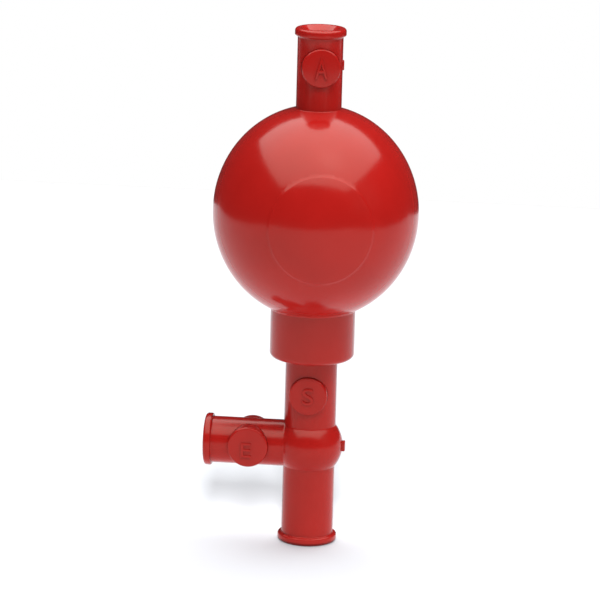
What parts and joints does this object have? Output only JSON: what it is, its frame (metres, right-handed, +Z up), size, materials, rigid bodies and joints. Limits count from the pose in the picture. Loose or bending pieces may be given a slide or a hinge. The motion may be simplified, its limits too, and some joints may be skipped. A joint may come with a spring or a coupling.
{
  "type": "pipette filler bulb",
  "caption": "Three-valve rubber pipette filler: a round squeeze bulb with a top air valve, standing on a tee with a suction valve, a side valve and a pipette socket.",
  "frame": {"origin": "centre of the pipette socket's mouth, on the underside of the foot", "axes": "+Z up along the airway to the top valve; -X along the side tube; the tee's lettered pads face -Y and +Y"},
  "size_m": [0.0609, 0.0604, 0.1534],
  "materials": {
    "bulb_rubber": "glossy moulded natural rubber",
    "tee_rubber": "glossy moulded natural rubber",
    "glass_ball": "polished"
  },
  "bodies": {
    "tee": {"valve_tee": "tee_rubber", "valve_ball_s": "glass_ball", "valve_ball_e": "glass_ball"},
    "bulb": {"bulb_shell": "bulb_rubber", "valve_ball_a": "glass_ball"},
    "wall_front": {"squeeze_wall_front": "bulb_rubber"},
    "wall_back": {"squeeze_wall_back": "bulb_rubber"},
    "pad_a_front": {"pad_a_front": "bulb_rubber"},
    "pad_a_back": {"pad_a_back": "bulb_rubber"},
    "pad_s_front": {"pad_s_front": "tee_rubber"},
    "pad_s_back": {"pad_s_back": "tee_rubber"},
    "pad_e_front": {"pad_e_front": "tee_rubber"},
    "pad_e_back": {"pad_e_back": "tee_rubber"}
  },
  "joints": [
    {"name": "bulb_swivel", "type": "hinge", "parent": "tee", "child": "bulb", "pos_m": [0, 0, 0.063], "axis": [0, 0, 1], "continuous": true},
    {"name": "squeeze_front", "type": "slide", "parent": "bulb", "child": "wall_front", "axis": [-0.1564, 0.9877, 0], "range_m": [0, 0.009], "stiffness_N_per_m": 1500},
    {"name": "squeeze_back", "type": "slide", "parent": "bulb", "child": "wall_back", "axis": [0.1564, -0.9877, 0], "range_m": [0, 0.009], "stiffness_N_per_m": 1500},
    {"name": "pinch_a_front", "type": "slide", "parent": "bulb", "child": "pad_a_front", "axis": [-0.1564, 0.9877, 0], "range_m": [0, 0.0012], "stiffness_N_per_m": 6000},
    {"name": "pinch_a_back", "type": "slide", "parent": "bulb", "child": "pad_a_back", "axis": [0.1564, -0.9877, 0], "range_m": [0, 0.0012], "stiffness_N_per_m": 6000},
    {"name": "pinch_s_front", "type": "slide", "parent": "tee", "child": "pad_s_front", "axis": [0, 1, 0], "range_m": [0, 0.0012], "stiffness_N_per_m": 6000},
    {"name": "pinch_s_back", "type": "slide", "parent": "tee", "child": "pad_s_back", "axis": [0, -1, 0], "range_m": [0, 0.0012], "stiffness_N_per_m": 6000},
    {"name": "pinch_e_front", "type": "slide", "parent": "tee", "child": "pad_e_front", "axis": [0, 1, 0], "range_m": [0, 0.0012], "stiffness_N_per_m": 6000},
    {"name": "pinch_e_back", "type": "slide", "parent": "tee", "child": "pad_e_back", "axis": [0, -1, 0], "range_m": [0, 0.0012], "stiffness_N_per_m": 6000}
  ],
  "couplings": [
    {"joint": "squeeze_back", "follows": "squeeze_front", "ratio": 1},
    {"joint": "pinch_a_back", "follows": "pinch_a_front", "ratio": 1},
    {"joint": "pinch_s_back", "follows": "pinch_s_front", "ratio": 1},
    {"joint": "pinch_e_back", "follows": "pinch_e_front", "ratio": 1}
  ]
}
